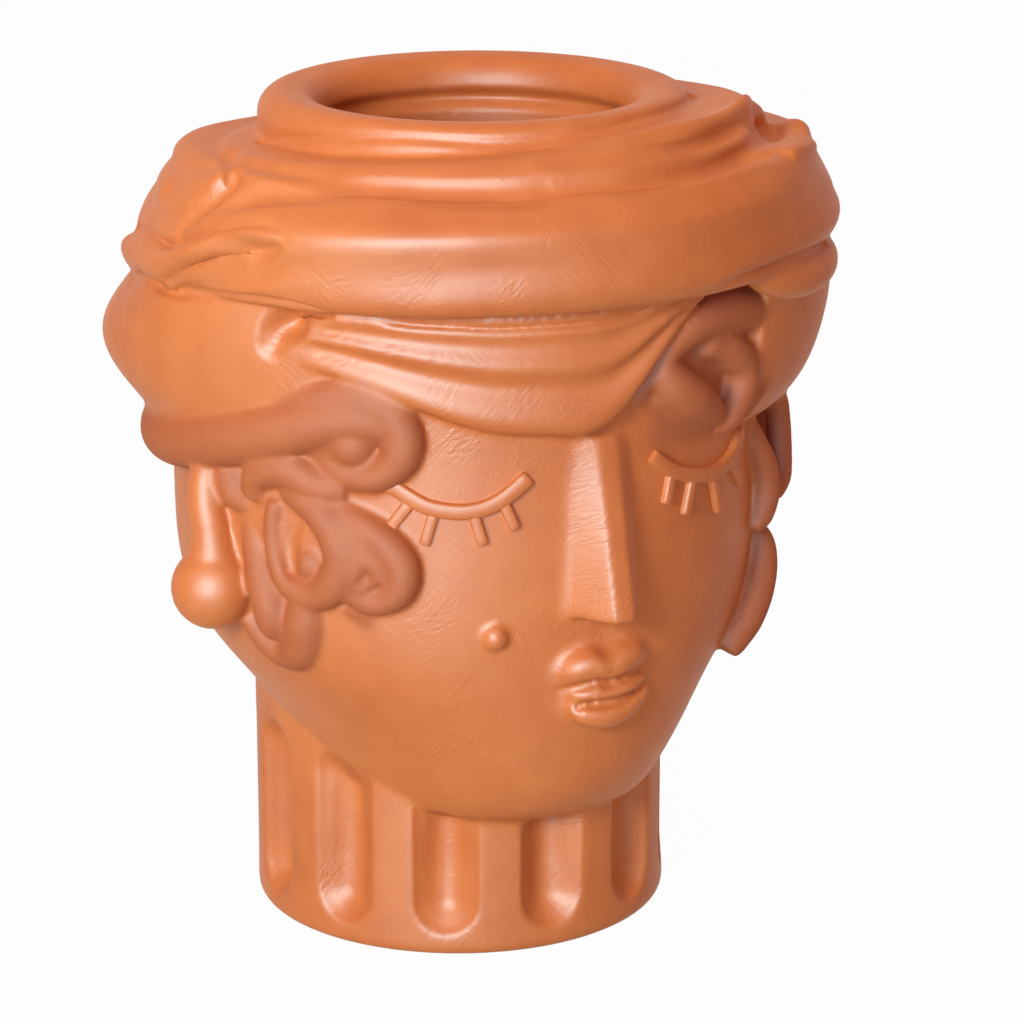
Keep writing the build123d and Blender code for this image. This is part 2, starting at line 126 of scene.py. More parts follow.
def coil(name, *places):
    curve = bpy.data.curves.new(name + "_coil", "CURVE")
    curve.dimensions = "3D"
    spline = curve.splines.new("BEZIER")
    spline.bezier_points.add(len(places) - 1)
    for point, (turn, height, reach, radius) in zip(spline.bezier_points, places):
        point.co = spot(turn, height, reach)
        point.radius = radius
        point.handle_left_type = "AUTO"
        point.handle_right_type = "AUTO"
    curve.bevel_depth = MM
    curve.bevel_resolution = 6
    curve.resolution_u = 10
    curve.use_fill_caps = True
    piece = bpy.data.objects.new(name + "_coil", curve)
    bpy.context.collection.objects.link(piece)
    active(piece)
    bpy.ops.object.convert(target="MESH")
    raw.append((name, bpy.context.object))


def ball(name, turn, height, reach, radius):
    bpy.ops.mesh.primitive_uv_sphere_add(segments=40, ring_count=24, radius=radius * MM,
                                         location=spot(turn, height, reach))
    raw.append((name, bpy.context.object))


coil("temple_curl", (-62, 206, 104, 8.0), (-56, 209, 105, 8.2), (-50, 212, 106, 7.6), (-43.5, 210, 106, 7.4),
     (-39.6, 203, 106, 7.2), (-39.2, 195, 106, 7.2), (-41.6, 188, 106, 6.0), (-46.5, 184.5, 105.5, 5.0),
     (-51, 186, 105, 4.6), (-54.5, 191, 104, 4.2))
ball("temple_button", -48.6, 196.5, 104.5, 8.8)
coil("temple_button", (-51, 194.5, 103, 7.5), (-56, 195, 102, 7.0), (-61, 197, 101, 5.0))
coil("arch_lock", (-70.3, 172, 104.5, 4.4), (-68.8, 179.5, 106, 6.0), (-65, 184, 107, 6.8),
     (-60.7, 184.5, 107, 6.8), (-57, 181.5, 106.5, 6.2), (-53.4, 179.5, 106, 5.2), (-50, 179, 105, 3.6))
coil("side_lock", (-79.5, 181, 103, 5.0), (-76.8, 176, 104.5, 6.4), (-74.8, 170.5, 104.5, 5.8),
     (-72.3, 167.5, 103, 3.6))
coil("side_lock", (-72.5, 163, 101.5, 4.0), (-71, 154, 103, 5.4), (-68.8, 142, 104, 6.4),
     (-67, 133, 104.5, 6.8), (-66.8, 127, 104, 6.0), (-67.5, 122.5, 103.5, 3.6))
coil("flower_curl", (-62.6, 177, 105, 4.0), (-59.4, 175.5, 106, 5.2), (-54.8, 171, 107, 6.2),
     (-51.4, 163, 107, 7.0), (-50.3, 155, 107, 7.2), (-51.9, 147, 107, 6.8), (-56, 141.5, 106, 5.6),
     (-60.1, 141.5, 106, 4.8), (-63.4, 146, 106, 3.8), (-65.2, 154, 106, 3.2), (-65.6, 163, 106, 3.2),
     (-64.8, 172, 105.5, 3.4))
coil("flower_curl", (-53.5, 172, 104, 6.0), (-48.5, 164, 104.5, 8.0), (-46.5, 154, 104.5, 8.5),
     (-50, 144, 102.5, 7.5))
ball("flower_button", -57.6, 151.5, 103.5, 5.8)
ball("flower_button", -60.2, 160, 101.5, 4.6)
coil("cheek_curl", (-51.5, 172, 105, 4.4), (-46.6, 167, 106, 5.8), (-42, 161.5, 107, 6.2),
     (-39.3, 154.5, 107.5, 6.2), (-39.6, 147, 107.5, 5.6), (-42.6, 142, 107, 4.6), (-46, 141, 106.5, 4.0),
     (-49, 143.5, 106, 4.0))
coil("cheek_curl", (-49, 162, 104, 7.5), (-45, 157, 104, 8.5), (-43.5, 149, 103.5, 8.0))
coil("cheek_curl", (-49.5, 139, 103.5, 4.0), (-46.7, 135, 103.5, 3.0), (-45.0, 131.5, 103, 1.6))
coil("long_lock", (-58.6, 143, 103.5, 6.0), (-59.4, 130, 102.5, 8.0), (-61.8, 119, 99.5, 7.6),
     (-66.0, 115.5, 98.5, 5.6), (-69.8, 117.5, 99.5, 4.6), (-72.4, 122, 101.5, 3.8), (-74.5, 127, 103, 2.6))
coil("ear_right", (-81.8, 184, 106, 4.8), (-81.5, 177, 109, 5.6), (-80.8, 167, 110.5, 6.4),
     (-79.6, 157, 110.5, 6.6), (-79.4, 149, 110, 8.4))
ball("earring_right", -79.5, 136.5, 110, 14.6)

coil("hair_arch", (6.2, 206, 103, 2.6), (9.1, 214, 104, 4.0), (13.3, 223, 105, 5.4), (19.5, 229, 106, 6.8),
     (27.6, 231, 107.5, 7.6), (36, 228.5, 109, 8.0), (43, 223, 111, 7.0), (48, 217, 112, 4.6))
coil("twist_lock", (10.8, 217, 104, 6.4), (14.4, 210, 105, 8.0), (19.1, 204, 105.5, 8.2),
     (24.4, 198, 105.5, 6.2), (28.5, 193.5, 105, 4.2))
coil("twist_lock", (24.3, 221, 106, 5.2), (30.4, 216, 108, 6.8), (34.5, 207.5, 109, 6.8),
     (33.6, 198.5, 108.5, 6.2), (31, 192.5, 107.5, 5.4), (28.6, 189, 106, 3.0))
ball("twist_lock", 24.3, 221, 105, 6.2)
ball("twist_lock", 37.0, 217.5, 107.5, 6.0)
coil("twist_curl", (34.5, 192, 108, 4.0), (39, 199.5, 110, 5.2), (44, 204.5, 111, 5.4), (50, 203, 112, 4.4),
     (54, 198, 112, 2.8))
coil("twist_curl", (42, 192, 107, 3.6), (47, 194, 109, 3.4), (51, 195, 110, 2.6))
coil("hanging_lock", (50, 196, 108, 4.0), (56, 188, 113, 4.2), (59, 177, 114.5, 4.6), (59, 166, 115, 4.8),
     (57.5, 157, 115, 4.6), (55, 151, 113, 3.2))
coil("hanging_lock", (66, 190, 106, 6.5), (68, 172, 108, 7.5), (67, 158, 107, 6.5))
coil("inner_lock", (46, 186, 104, 3.0), (48.5, 175, 107, 4.6), (51.5, 164, 110, 5.2),
     (52.5, 154, 110.5, 5.4), (51, 146, 109, 4.8), (49, 142, 107, 2.8))
coil("earring_left", (56, 141, 104, 3.4), (56, 135, 108.5, 4.8), (55, 128, 109.5, 5.8), (52, 118, 108, 6.6),
     (48, 109, 105, 6.6), (44.5, 102, 101, 6.0), (43.5, 99, 99.5, 5.0))

# The mouth: two low mounds of clay pressed on under the nose, with three rolls laid over them, one for the
# upper lip and two for the lower lip. They are smeared together and cut further on.
ball("upper_lip", -0.8, 111, 90.5, 17.0)
ball("lower_lip", -2.0, 103, 91.5, 14.0)
coil("upper_lip", (-9.5, 111, 100.5, 3.0), (-6.2, 115, 103.5, 5.4), (-3.4, 116, 104.5, 5.6),
     (-0.6, 114.5, 104.8, 5.6), (2.4, 116, 104.6, 5.6), (5.4, 117, 103.6, 5.4), (8.2, 114, 102, 3.6))
coil("lower_lip", (-7.5, 106.3, 102.6, 2.4), (-4, 105.6, 105, 3.0), (0, 105.3, 105.6, 3.2),
     (4, 106.2, 105.2, 3.3), (8, 107.2, 102.6, 3.0))
coil("lower_lip", (-7.2, 101.5, 102, 3.0), (-5, 98.8, 103.2, 4.6), (-1, 97.2, 104, 5.2),
     (3.5, 98.4, 103.6, 5.0), (7.2, 101.6, 102.4, 4.2), (9.2, 106, 100.8, 3.0))

# The plugs close the mouth below its throat and the foot, so that only the outside takes the wet skin.
bpy.ops.mesh.primitive_cylinder_add(vertices=96, radius=75 * MM, depth=15 * MM, location=(0, 0, 245.5 * MM))
plugs = [bpy.context.object]
bpy.ops.mesh.primitive_cylinder_add(vertices=96, radius=66 * MM, depth=12 * MM, location=(0, 0, 6.2 * MM))
plugs.append(bpy.context.object)

# The whole pot becomes one skin of wet clay, whose seams are smoothed over with a fingertip.
soup = {"corners": [], "faces": [], "names": []}
for name, piece in raw + [("base_floor", frame["nodes"]["base_floor"])]:
    mesh = piece.data
    mesh.calc_loop_triangles()
    corners = [piece.matrix_world @ v.co for v in mesh.vertices]
    start = len(soup["corners"])
    soup["corners"] += corners
    soup["faces"] += [tuple(start + i for i in t.vertices) for t in mesh.loop_triangles]
    soup["names"] += [name] * len(mesh.loop_triangles)
nearest = BVHTree.FromPolygons(soup["corners"], soup["faces"])
bpy.ops.object.select_all(action="DESELECT")
for piece in [piece for _, piece in raw] + plugs:
    piece.select_set(True)
bpy.context.view_layer.objects.active = raw[0][1]
bpy.ops.object.join()
body = bpy.context.object
body.name = "clay_body"
finish_with(body, "REMESH", mode="VOXEL", voxel_size=VOXEL * MM, adaptivity=0.0)
active(body)
bpy.ops.object.mode_set(mode="EDIT")
bpy.ops.mesh.select_all(action="DESELECT")
bpy.ops.object.mode_set(mode="OBJECT")
max(body.data.vertices, key=lambda v: v.co.z).select = True
bpy.ops.object.mode_set(mode="EDIT")
bpy.ops.mesh.select_mode(type="VERT")
bpy.ops.mesh.select_linked()
bpy.ops.mesh.select_all(action="INVERT")
bpy.ops.mesh.delete(type="VERT")
bpy.ops.object.mode_set(mode="OBJECT")
finish_with(body, "SMOOTH", factor=0.5, iterations=6)


# The tooling: strokes of a modelling tool, each along a route of places with a width and a depth. A stroke
# presses in, or with a depth below zero leaves the clay raised.
def smooth_line(places):
    p = np.array(places, float)
    p = np.vstack([2 * p[0] - p[1], p, 2 * p[-1] - p[-2]])
    runs = []
    for a, b, c, d in zip(p, p[1:], p[2:], p[3:]):
        span = np.hypot(radians(c[0] - b[0]) * b[2], c[1] - b[1])
        t = np.linspace(0, 1, max(4, int(span)), endpoint=False)[:, None]
        runs.append(0.5 * (2 * b + (c - a) * t + (2 * a - 5 * b + 4 * c - d) * t**2
                           + (3 * b - a - 3 * c + d) * t**3))
    line = np.vstack(runs + [p[-2:-1]])
    turns = np.radians(line[:, 0])
    at = np.stack([line[:, 2] * np.sin(turns), -line[:, 2] * np.cos(turns), line[:, 1]], axis=1)
    return at, line[:, 3:]


def read_clay():
    count = len(body.data.vertices)
    at = np.empty(count * 3, np.float32)
    body.data.vertices.foreach_get("co", at)
    facing = np.empty(count * 3, np.float32)
    body.data.vertex_normals.foreach_get("vector", facing)
    return at.reshape(-1, 3) / MM, facing.reshape(-1, 3)


def near_route(at, route, widths):
    """The vertices beside a route, the nearest of its samples to each, and how far off it is in widths."""
    widest = widths.max()
    low, high = route.min(axis=0) - widest, route.max(axis=0) + widest
    beside = np.flatnonzero(((at > low) & (at < high)).all(axis=1))
    closest = np.empty(len(beside), int)
    gap = np.empty(len(beside), np.float32)
    for first in range(0, len(beside), 20000):
        some = at[beside[first:first + 20000]]
        apart = np.linalg.norm(some[:, None] - route[None], axis=2)
        k = apart.argmin(axis=1)
        closest[first:first + 20000] = k
        gap[first:first + 20000] = apart[np.arange(len(some)), k]
    share = gap / widths[closest]
    inside = share < 1
    return beside[inside], closest[inside], share[inside]


def tool(*strokes, kind="round"):
    at, facing = read_clay()
    push = np.zeros(len(at), np.float32)
    for places in strokes:
        route, rest = smooth_line(places)
        beside, k, share = near_route(at, route, np.maximum(rest[:, 0], 0.5))
        profile = (1 - share**2)**2 if kind == "round" else (1 - share)**1.5
        push[beside] -= rest[k, 1] * profile
    at = at + facing * push[:, None]
    body.data.vertices.foreach_set("co", (at * MM).ravel())
    body.data.update()


def soften(places, rounds):
    at, _ = read_clay()
    route, rest = smooth_line(places)
    beside, _, share = near_route(at, route, rest[:, 0])
    group = body.vertex_groups.new(name="soft")
    for i, weight in zip(beside.tolist(), (1 - share**2).tolist()):
        group.add([i], weight, "REPLACE")
    finish_with(body, "SMOOTH", factor=0.5, iterations=rounds, vertex_group="soft")
    body.vertex_groups.clear()


# The neck and jaw: the join under the jaw is wiped over, so that the pillars between the flutes run up into
# the head. Each flute is then deepened with the thumb where it is widest.
soften([(-81, 99, 88, 7), (-73, 95, 85, 8), (-62, 90, 84, 8), (-52, 80, 81, 9), (-42, 70, 80, 10),
        (-30, 61, 79, 10), (-18, 55, 78, 11), (-5, 51, 76, 9), (8, 52, 76, 9), (20, 60, 79, 9),
        (32, 70, 82, 8)], 24)

FIRST_FLUTE = -3
FLUTE_STEP = 30
tool(*[[(turn, 20, 68, 8.5, 1.6), (turn, 34, 68, 9, 2.6), (turn, 52, 68, 8.5, 2.4), (turn, 66, 70, 7, 1.2)]
       for turn in range(FIRST_FLUTE, FIRST_FLUTE + 360, FLUTE_STEP)])

# The face: the sides of the nose and the edges of the mouth are wiped into the cheeks with a damp finger, the
# mounds of the lips are rounded off, and a shallow dip is pressed from the nose to the upper lip.
soften([(-9, 196, 103, 8), (-8.8, 180, 102, 9), (-8.6, 160, 103, 10), (-8, 140, 104, 10)], 30)
soften([(8, 190, 103, 6), (7.5, 170, 103, 7), (7.5, 150, 104, 8), (7.5, 136, 105, 8)], 24)
soften([(-12, 100, 100, 8), (-11, 112, 102, 9), (-7, 122, 104, 7), (0, 124, 104, 6), (6, 123, 104, 6)], 24)
soften([(-9, 94, 99, 5), (-3, 91, 99, 4), (4, 91, 99, 4), (9, 96, 100, 4), (10.5, 108, 101, 4),
        (9, 119, 102, 5)], 12)
soften([(-9, 113, 104, 9), (-4, 115, 107, 9), (0, 116, 107, 9), (7, 117, 104, 8)], 30)
soften([(-9.5, 108, 102, 6), (-9, 103, 102, 7), (-8, 98, 101, 6)], 30)
soften([(-5, 98, 105, 6), (0, 97, 106, 6), (5, 99, 105, 6)], 14)
tool([(-0.8, 125, 103, 6, 0.5), (-0.8, 119, 106, 6, 0.9), (-0.6, 113, 108, 5, 0.5)])

# The hair on the vase's own right: the coils are smeared into each other where they meet, and the hollows
# within the curls are pressed in again.
soften([(-53, 170, 108, 9), (-48, 162, 109, 10), (-46, 154, 109, 10), (-49, 145, 107, 9)], 22)
soften([(-58, 205, 105, 7), (-56, 190, 105, 6), (-50, 186, 106, 6), (-44, 184, 106, 5)], 8)
soften([(-80, 154, 112, 9), (-79, 146, 112, 9)], 20)
soften([(-60, 150, 104, 7), (-59, 162, 103, 7)], 4)
soften([(-58, 140, 106, 7), (-62, 128, 102, 8), (-66, 120, 100, 8)], 8)
tool([(-46.5, 155.5, 110, 3.2, 2.0), (-45.5, 152, 110, 3.8, 4.0), (-46.5, 149, 110, 3.2, 2.0)],
     [(-54.0, 142, 104, 3.5, 1.0), (-50.5, 140, 106, 3.5, 1.4), (-47.0, 139, 106, 3.0, 1.2)],
     [(-61.5, 148, 106, 4.0, 1.2), (-61.5, 158, 105, 4.5, 1.6), (-60, 167, 105, 3.5, 1.2)])

# The head cloth on the vase's own right: sharp creases round the tucked bunch, the S-shaped fold and the
# wrap's lower edge, then the rounded folds and the pockets between them, all worked in the wet clay.
tool([(-107, 253, 113, 3.5, 2), (-93, 256, 116, 4, 3), (-88, 256, 118, 4, 3.5), (-84, 257, 118, 4, 3.5),
      (-78, 261, 119, 4, 3), (-72, 266, 119, 4, 2.5), (-68, 268, 121, 4, 2), (-62, 271, 122, 4, 1.6),
      (-58, 271, 124, 4, 1.2), (-55, 268, 126, 3, 0.5)], [(-90, 241, 118, 3, 1.5), (-84, 240, 117, 3, 2.2),
      (-78, 242, 117, 3, 2), (-67, 245, 121, 3, 2), (-61, 246, 123, 3, 2.5), (-54, 245, 122, 3, 3),
      (-46, 243, 117, 3, 3), (-39, 240, 113, 3, 3), (-30, 239, 113, 3, 3), (-22, 238, 113, 3, 3),
      (-12, 238, 113, 3, 3), (-4, 238, 113, 3, 3), (4, 239, 113, 3, 3), (9, 243, 118, 3, 3),
      (15, 247, 123, 3, 3), (24, 249, 126, 3, 3), (36, 249, 128, 3, 3),
      (50, 247, 130, 2.5, 2)], [(-106, 235, 117, 3.5, 1.5), (-98, 239, 119, 3.5, 2.2),
      (-93, 243, 120, 3.5, 2), (-89, 241, 119, 3.5, 2.5), (-84, 240, 117, 3, 2),
      (-80, 242, 117, 3, 1)], kind="sharp")
tool([(-110, 247, 117, 7, -1.5), (-97, 249, 118, 8, -2), (-87, 250, 121, 8, -2.5), (-81, 252, 123, 8, -2.5),
      (-74, 259, 125, 7, -2.5), (-70, 263, 123, 6, -2.2), (-65, 267, 123, 5, -1.8), (-60, 268, 124, 5, -1.2),
      (-56, 268, 126, 4, -0.5)], [(-83, 246, 121, 5, 2), (-78, 250, 124, 6, 4), (-74, 253, 126, 7, 6),
      (-70, 257, 127, 8, 7), (-67, 259.5, 126, 8, 7), (-64, 261.5, 125, 7, 6), (-60, 263, 125, 6, 4.5),
      (-57, 265.5, 125, 4, 2.5), (-56, 267, 126, 3, 1)], [(-84, 240, 117, 4, 0.5), (-74, 246, 121, 5, 1.5),
      (-67, 252, 123, 6, 2), (-60, 256, 125, 6, 2), (-55, 259, 125, 6, 1),
      (-52, 260, 126, 5, 0.3)], [(-85, 285, 92, 5, 1), (-76, 285, 104, 5, 2), (-74, 280, 107, 6, 2.5),
      (-75, 276, 110, 6, 2.5), (-77, 271, 112, 6, 2.5), (-80, 267, 114, 6, 2),
      (-82, 262, 116, 5, 1.5)], [(-93, 272, 111, 6, 2), (-86, 274, 112, 6, 1.5),
      (-79, 276, 112, 5, 0.8)], [(-62, 229, 114, 7, 3), (-61, 233, 113, 8, 6), (-59, 236, 113, 8, 8),
      (-57, 239, 113, 7, 7), (-55, 240, 112, 5, 4), (-52, 241, 112, 4, 2)])

# The brow band: its edge on the vase's own left is wiped down, and a fine line is pressed in beside it where
# the band meets the hair.
soften([(4, 208, 110, 4), (6.5, 214, 111, 5), (10, 223, 112, 5), (14, 232, 114, 5), (19, 239, 116, 5)], 16)
tool([(3.5, 205, 107, 3, 0.8), (5.5, 210, 108, 3.2, 1.4), (8, 217, 108, 3.4, 1.6),
      (11.2, 226, 109, 3.4, 1.6), (15, 233, 110, 3.4, 1.6), (20, 238, 111, 3.2, 1.4),
      (26, 240, 112, 3, 0.8)], kind="sharp")

# The crown of the cloth: the seam under the rim, the ridges and hollows of the wraps and the notch are worked
# in, a groove is turned inside the throat, and the whole skin is wiped once more.
soften([(-66, 278, 111, 5), (-52, 283, 109, 6), (-43, 283, 107, 6), (-34, 283, 109, 6), (-25, 283, 110, 6),
        (-17, 283, 111, 6), (-7, 283, 109, 6), (4, 283, 111, 6), (18, 283, 110, 6)], 30)
tool([(-89, 286, 77, 3, 1.5), (-76, 290, 78, 3, 1.5), (-58, 294, 82, 3, 1.5), (-42, 296, 84, 3, 1.5),
      (-31, 296, 86, 3, 1.5), (-20, 295, 87, 3, 1.5), (-9, 296, 88, 3, 1.5), (4, 297, 87, 3, 1.5),
      (20, 298, 85, 3, 1.5), (55, 296, 82, 3, 1.5)],
     [(-74, 271, 114, 4, 0.5), (-69, 275, 114, 6, 1.5), (-65, 278, 111, 8, 2.5), (-59, 281, 110, 8, 3),
      (-52, 283, 109, 8, 3), (-43, 283, 107, 8, 3), (-34, 283, 109, 8, 3), (-25, 283, 110, 8, 3),
      (-17, 283, 111, 8, 3), (-7, 283, 109, 8, 3), (4, 283, 111, 8, 3), (18, 283, 110, 8, 3.5),
      (31, 283, 112, 8, 3.5), (40, 283, 119, 6, 2)],
     [(-11, 286, 107, 5, -0.5), (-3, 286, 108, 5, -1), (7, 286, 108, 5, -1.5), (20, 286, 107, 5, -2),
      (32, 288, 108, 5, -2), (39, 289, 108, 5, -1.5)],
     [(-10, 291, 101, 9, 1), (2, 292, 104, 9, 2), (14, 292, 104, 9, 3.5), (22, 293, 105, 9, 4),
      (31, 294, 105, 8, 3.5), (40, 294, 104, 6, 1.5)],
     [(-7, 293, 89, 4, -0.5), (6, 294, 93, 4, -1), (16, 295, 96, 4, -1), (25, 296, 101, 4, -1.5),
      (36, 296, 103, 4, -1.5), (48, 296, 103, 4, -1.5)],
     [(50, 292, 106, 9, 4), (54, 288, 108, 9, 5), (59, 283, 110, 8, 4)],
     [(16, 290, 104, 7, 1.2), (32, 290, 106, 8, 2.4), (45, 288, 108, 8, 2.6), (54, 284, 111, 8, 2)],
     [(-24, 271, 121, 9, 0.4), (-8, 272, 123, 11, 1.6), (10, 272, 125, 11, 2.0), (30, 271, 127, 11, 2.0),
      (46, 272, 128, 11, 2.0), (60, 274, 127, 11, 1.6)],
     [(-30, 254, 122, 8, -0.3), (-10, 254, 125, 9, -1.0), (15, 254, 128, 9, -1.0), (40, 255, 131, 8, -1.6),
      (60, 255, 132, 8, -1.8)],
     [(57, 283, 121, 6, -1.0), (60, 284.5, 119, 7, -3.0), (64, 284, 118, 6, -1.5)])
tool([(6, 293.5, 93, 5, -0.6), (16, 295, 96, 5, -1.2), (26, 296, 99, 5, -2.0), (36, 296.5, 101, 5, -2.6),
      (45, 297, 102, 5, -3.2), (49, 297, 103, 4.5, -3.2)], [(-12, 281, 111, 5, -0.4), (4, 282, 114, 5, -1.0),
      (20, 282, 116, 5, -1.6), (35, 282.5, 118.5, 5, -2.0), (46, 281, 122, 5, -2.0),
      (54, 280, 125, 5, -1.6)], kind="sharp")
THROAT_Y = -13
GROOVE_RADIUS = 55.5
GROOVE_HEIGHT = 285.5
throat = [(GROOVE_RADIUS * sin(radians(a)), THROAT_Y - GROOVE_RADIUS * cos(radians(a)))
          for a in range(0, 361, 15)]
turns = np.degrees(np.unwrap([np.arctan2(x, -y) for x, y in throat]))
tool([(turn, GROOVE_HEIGHT, np.hypot(x, y), 4.5, 4.5) for turn, (x, y) in zip(turns, throat)])
finish_with(body, "SMOOTH", factor=0.5, iterations=2)

# The crisp marks, left till last so that no wiping dulls them: the two cuts of the lips, each made in a wide
# and a narrow pass, and the raised edge of the S-shaped fold.
for width, depth in ((2.6, 1.0), (1.7, 0.6)):
    tool([(-9.5, 106.8, 102, width, depth), (-6.5, 108.6, 106, width, depth * 2.6),
          (-3, 110.0, 108, width, depth * 3.8), (-0.5, 109.0, 108, width, depth * 4.2),
          (2.5, 110.2, 108, width, depth * 4.4), (5.5, 110.9, 107, width, depth * 4.4),
          (8, 110.8, 104, width, depth * 2)],
         [(-5.6, 98.8, 105, width, depth), (-6.2, 101.6, 105, width, depth * 2),
          (-4, 102.2, 107, width, depth * 3.4), (-1, 102.0, 108, width, depth * 4),
          (3, 102.6, 108, width, depth * 4.2), (6.5, 104.0, 106, width, depth * 3.6),
          (9, 105.4, 104, width, depth)], kind="sharp")
tool([(-88, 241, 118, 2.2, -1), (-85, 242, 117, 2.2, -1.2), (-78, 246, 122, 2.2, -1.4),
      (-73, 249.5, 123, 2.2, -1.4), (-69, 253, 125, 2.2, -1.4), (-65, 257, 125, 2.2, -1.4),
      (-61, 260, 125, 2.2, -1.2), (-58, 263, 125, 2.2, -1), (-56, 266, 126, 2.2, -0.6)])

# The finish: fired terracotta, burnished to a satin sheen while leather-hard. Its colour drifts a little over
# the pot, and the modelling tools and brush have left fine scratches that run in bands across each other.
clay = bpy.data.materials.new("terracotta")
clay.use_nodes = True
nodes = clay.node_tree.nodes
links = clay.node_tree.links
shader = nodes["Principled BSDF"]
place = nodes.new("ShaderNodeTexCoord")


def noise(scale, detail, stretch=(1, 1, 1), turned=(0, 0, 0)):
    mapping = nodes.new("ShaderNodeMapping")
    mapping.vector_type = "TEXTURE"
    mapping.inputs["Rotation"].default_value = [radians(angle) for angle in turned]
    mapping.inputs["Scale"].default_value = [1 / along for along in stretch]
    links.new(place.outputs["Object"], mapping.inputs["Vector"])
    texture = nodes.new("ShaderNodeTexNoise")
    texture.inputs["Scale"].default_value = scale
    texture.inputs["Detail"].default_value = detail
    links.new(mapping.outputs["Vector"], texture.inputs["Vector"])
    return texture.outputs["Fac"]


def ramp(value, *stops):
    node = nodes.new("ShaderNodeValToRGB")
    node.color_ramp.elements.remove(node.color_ramp.elements[1])
    for at, colour in stops:
        stop = node.color_ramp.elements.new(at)
        stop.color = colour
    node.color_ramp.elements.remove(node.color_ramp.elements[0])
    links.new(value, node.inputs["Fac"])
    return node.outputs["Color"]


def combine(operation, first, second):
    node = nodes.new("ShaderNodeMath")
    node.operation = operation
    for socket, value in zip(node.inputs, (first, second)):
        if isinstance(value, float):
            socket.default_value = value
        else:
            links.new(value, socket)
    return node.outputs["Value"]


drift = combine("ADD", combine("MULTIPLY", noise(14, 3), 0.65), combine("MULTIPLY", noise(90, 5), 0.35))
tone = ramp(drift, (0.30, (0.54, 0.160, 0.042, 1)), (0.50, (0.61, 0.200, 0.057, 1)),
            (0.70, (0.66, 0.235, 0.074, 1)))
# The hair, the nape roll and the skin in the hollows between the locks are tinted darker and browner. This is
# partly the hair's own browner tone and partly painted shade: under the overhanging cloth, on the nape roll
# and in the hollows. The same share also makes them rougher.
tone_and_painted_shade = nodes.new("ShaderNodeMix")
tone_and_painted_shade.data_type = "RGBA"
tone_and_painted_shade.blend_type = "MULTIPLY"
tone_and_painted_shade.inputs["B"].default_value = (0.74, 0.62, 0.48, 1)
hair_and_shade_share = nodes.new("ShaderNodeAttribute")
hair_and_shade_share.attribute_name = "hair"
links.new(hair_and_shade_share.outputs["Fac"], tone_and_painted_shade.inputs["Factor"])
links.new(tone, tone_and_painted_shade.inputs["A"])
links.new(tone_and_painted_shade.outputs["Result"], shader.inputs["Base Color"])
dullness = combine("ADD", combine("MULTIPLY", hair_and_shade_share.outputs["Fac"], 0.25), 0.5)
links.new(dullness, shader.inputs["Roughness"])
shader.inputs["Specular IOR Level"].default_value = 0.2
white, black = (1, 1, 1, 1), (0, 0, 0, 1)
scratches = None
for turned, patch in (((0, 42, -29), (31, 0, 0)), ((0, -50, -29), (0, 53, 0)),
                      ((12, 38, 40), (60, 0, 77)), ((70, 0, 30), (17, 80, 0))):
    lines = noise(1.0, 1, stretch=(800, 800, 70), turned=turned)
    where = ramp(noise(30, 2, turned=patch), (0.52, black), (0.66, white))
    band = combine("MULTIPLY", combine("SUBTRACT", lines, 0.5), where)
    scratches = band if scratches is None else combine("ADD", scratches, band)
grain = combine("MULTIPLY", combine("SUBTRACT", noise(420, 3), 0.5), 0.22)
surface = combine("ADD", scratches, grain)
bump = nodes.new("ShaderNodeBump")
bump.inputs["Strength"].default_value = 1.0
bump.inputs["Distance"].default_value = 0.22 * MM
links.new(surface, bump.inputs["Height"])
links.new(bump.outputs["Normal"], shader.inputs["Normal"])

# The pot is parted into its pieces again: every face goes to the piece whose clay lies nearest under it, and
# each piece is backed to a closed shell. The head keeps its solid, under a tooled skin in two halves.
HEAD_REACH = 112
HEAD_FROM = 48
HEAD_TO = 264
SKIN_REACH = 1.5
SKIN_GAP = 0.15
LOCKS_LOW = (18, -np.inf, 187)
LOCKS_HIGH = (94, -40, 232)
VOTING_ROUNDS = 4
TINT_ROUNDS = 12
THROAT_WALL = 57
THROAT_FROM = 245
THROAT_TO = 262
WELL_RADIUS = 61.5
FOOT_BACK = 2.0
BACKING = 0.7
at, facing = read_clay()
shell = frame["nodes"]["head_shell"].data
shell.calc_loop_triangles()
head_form = BVHTree.FromPolygons([corner.co for corner in shell.vertices],
                                 [tuple(face.vertices) for face in shell.loop_triangles])
near_head = (np.hypot(at[:, 0], at[:, 1]) < HEAD_REACH) & (at[:, 2] > HEAD_FROM) & (at[:, 2] < HEAD_TO)
for i in np.flatnonzero(near_head):
    corner = Vector(at[i].tolist()) * MM
    under, outward = head_form.find_nearest(corner, SKIN_REACH * MM)[:2]
    if under and (corner - under).dot(outward) < SKIN_GAP * MM:
        at[i] = (under + outward * SKIN_GAP * MM) / MM
quads = np.empty(len(body.data.loops), int)
body.data.loops.foreach_get("vertex_index", quads)
quads = quads.reshape(-1, 4)
centres = at[quads].mean(axis=1)
names = sorted(set(soup["names"]))
under = [nearest.find_nearest(Vector(centre) * MM)[2] for centre in centres.tolist()]
owner = np.array([names.index(soup["names"][face]) for face in under])
for _ in range(VOTING_ROUNDS):
    votes = np.zeros((len(at), len(names)), np.float32)
    for corner in quads.T:
        np.add.at(votes, (corner, owner), 1)
    owner = sum(votes[corner] for corner in quads.T).argmax(axis=1)
